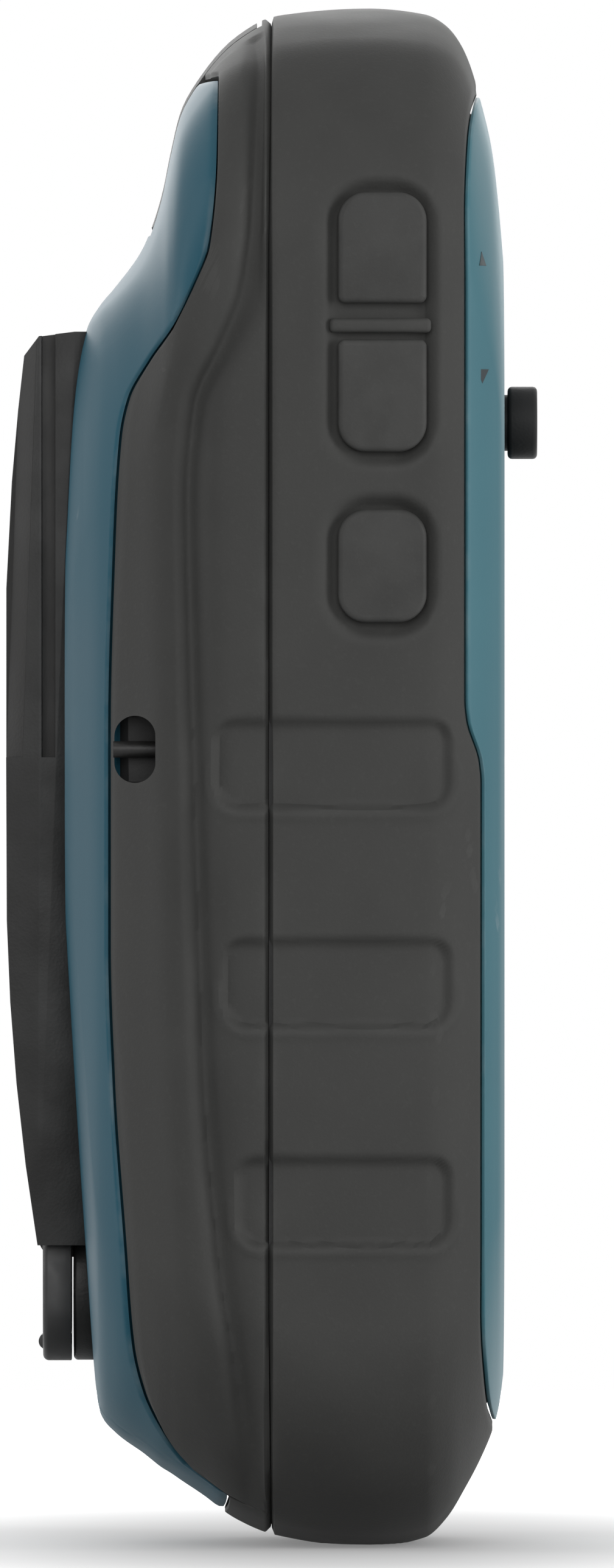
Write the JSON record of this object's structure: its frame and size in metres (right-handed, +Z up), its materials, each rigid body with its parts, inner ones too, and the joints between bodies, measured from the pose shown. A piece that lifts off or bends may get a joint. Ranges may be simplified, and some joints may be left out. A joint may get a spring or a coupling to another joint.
{
  "type": "handheld gps unit",
  "caption": "Pocket satellite navigator with side keys, thumb stick, small screen, battery bay, sealed port cap and a rear mounting spine with a quarter-turn ring lock.",
  "frame": {"origin": "under the middle of the overall width and depth, on the plane that the base stands on", "axes": "+Z up along the long axis, -Y out of the screen, -X towards the zoom and menu keys"},
  "size_m": [0.054, 0.0358, 0.103],
  "materials": {
    "body_rubber": "soft moulded rubber, fine matt grain",
    "teal_paint": "satin blue-green paint on plastic",
    "teal_cover": "satin blue-green plastic, fine grain",
    "seal_rubber": "plain black",
    "lens_clear": "clear hard coat",
    "screen_glass": "dark display, switched off",
    "inner_plastic": "plain black moulding",
    "circuit_board": "green solder mask",
    "ceramic_patch": "ceramic with a silvered top",
    "bright_steel": "plated steel",
    "cap_rubber": "soft matt rubber",
    "key_rubber": "soft matt rubber",
    "stick_rubber": "fine grained rubber",
    "cell_jacket": "plain printed jacket",
    "spring_steel": "nickel plated",
    "spine_plastic": "glass filled nylon",
    "ring_metal": "black coated wire ring",
    "screw_steel": "black oxide"
  },
  "bodies": {
    "unit": {"front_housing": "body_rubber", "rear_housing": "body_rubber", "front_bezel": "teal_paint", "housing_seal": "seal_rubber", "bay_seal": "seal_rubber", "screen_lens": "lens_clear", "screen_gasket": "seal_rubber", "screen_module": "screen_glass", "screen_frame": "inner_plastic", "main_board": "circuit_board", "gps_antenna": "ceramic_patch", "shield_can": "bright_steel", "card_socket": "bright_steel", "memory_card": "inner_plastic", "usb_socket": "bright_steel", "side_switches": "inner_plastic", "stick_switch": "bright_steel", "battery_left": "cell_jacket", "battery_right": "cell_jacket", "contact_springs": "spring_steel", "contact_plates": "spring_steel", "lock_keeper": "bright_steel", "strap_bar": "spine_plastic", "housing_screws": "screw_steel"},
    "cover": {"battery_cover": "teal_cover", "mounting_spine": "spine_plastic"},
    "lock": {"lock_disc": "spine_plastic"},
    "ring": {"d_ring": "ring_metal", "ring_pin": "bright_steel"},
    "cap": {"usb_cap": "cap_rubber"},
    "carriage": {"stick_carriage": "inner_plastic"},
    "gimbal": {"gimbal_ring": "inner_plastic"},
    "stick": {"thumb_stick": "stick_rubber"},
    "zoom_in_key": {"zoom_in_key": "key_rubber"},
    "zoom_out_key": {"zoom_out_key": "key_rubber"},
    "menu_key": {"menu_key": "key_rubber"},
    "back_key": {"back_key": "key_rubber"},
    "light_key": {"light_key": "key_rubber"}
  },
  "joints": [
    {"name": "zoom_in_key_press", "type": "slide", "parent": "unit", "child": "zoom_in_key", "axis": [1, 0, 0], "range_m": [0, 0.0004], "stiffness_N_per_m": 3000},
    {"name": "zoom_out_key_press", "type": "slide", "parent": "unit", "child": "zoom_out_key", "axis": [1, 0, 0], "range_m": [0, 0.0004], "stiffness_N_per_m": 3000},
    {"name": "menu_key_press", "type": "slide", "parent": "unit", "child": "menu_key", "axis": [1, 0, 0], "range_m": [0, 0.0004], "stiffness_N_per_m": 3000},
    {"name": "back_key_press", "type": "slide", "parent": "unit", "child": "back_key", "axis": [-1, 0, 0], "range_m": [0, 0.0004], "stiffness_N_per_m": 3000},
    {"name": "light_key_press", "type": "slide", "parent": "unit", "child": "light_key", "axis": [-1, 0, 0], "range_m": [0, 0.0004], "stiffness_N_per_m": 3000},
    {"name": "stick_press", "type": "slide", "parent": "unit", "child": "carriage", "axis": [0, 1, 0], "range_m": [0, 0.0003], "stiffness_N_per_m": 4000},
    {"name": "stick_tilt_up", "type": "hinge", "parent": "carriage", "child": "gimbal", "pos_m": [0.013, -0.0112, 0.07535], "axis": [1, 0, 0], "range_deg": [-8, 8], "stiffness_Nm_per_rad": 0.05},
    {"name": "stick_tilt_side", "type": "hinge", "parent": "gimbal", "child": "stick", "pos_m": [0.013, -0.0112, 0.07535], "axis": [0, 0, 1], "range_deg": [-8, 8], "stiffness_Nm_per_rad": 0.05},
    {"name": "cover_open", "type": "hinge", "parent": "unit", "child": "cover", "pos_m": [0, 0.0045, 0.0981], "axis": [1, 0, 0], "range_deg": [0, 30]},
    {"name": "lock_turn", "type": "hinge", "parent": "cover", "child": "lock", "pos_m": [0, 0.0125, 0.0172], "axis": [0, 1, 0], "range_deg": [0, 90]},
    {"name": "ring_fold", "type": "hinge", "parent": "lock", "child": "ring", "pos_m": [0, 0.0145, 0.0204], "axis": [1, 0, 0], "range_deg": [0, 90]},
    {"name": "cap_open", "type": "hinge", "parent": "unit", "child": "cap", "pos_m": [0, 0.0011, 0.1022], "axis": [1, 0, 0], "range_deg": [0, 100]}
  ]
}
